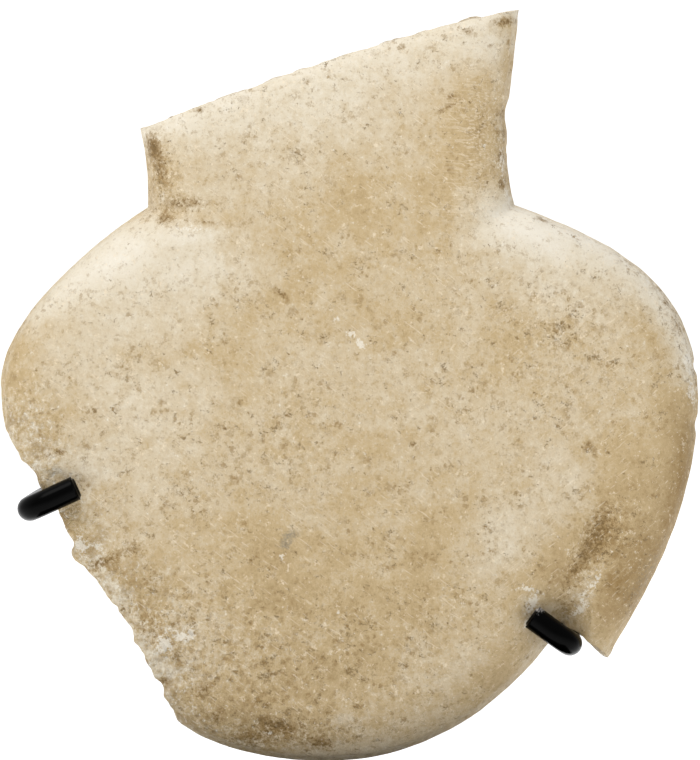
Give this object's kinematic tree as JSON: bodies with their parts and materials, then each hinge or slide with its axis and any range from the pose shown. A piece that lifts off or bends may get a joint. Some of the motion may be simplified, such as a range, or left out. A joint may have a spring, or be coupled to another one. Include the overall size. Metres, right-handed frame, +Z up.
{
  "type": "marble idol",
  "caption": "Flat marble idol with a broken neck and a broken side, held upright in a black wire cradle on a foot plate.",
  "frame": {"origin": "centre of the foot plate's underside, which is the bottom centre of the whole", "axes": "+Z up, +X to the right of a viewer who faces the idol, and the idol's front looks along -Y"},
  "size_m": [0.09, 0.05, 0.121],
  "materials": {
    "marble": "cream marble with a worn dull polish, brown patina, fine scratches, dark specks in its pits and rough broken edges",
    "black_paint": "satin black paint with small scuffs at the ends"
  },
  "bodies": {
    "root": {"idol": "marble", "left_hook": "black_paint", "right_hook": "black_paint", "upright_rod": "black_paint", "foot_plate": "black_paint"}
  },
  "joints": []
}
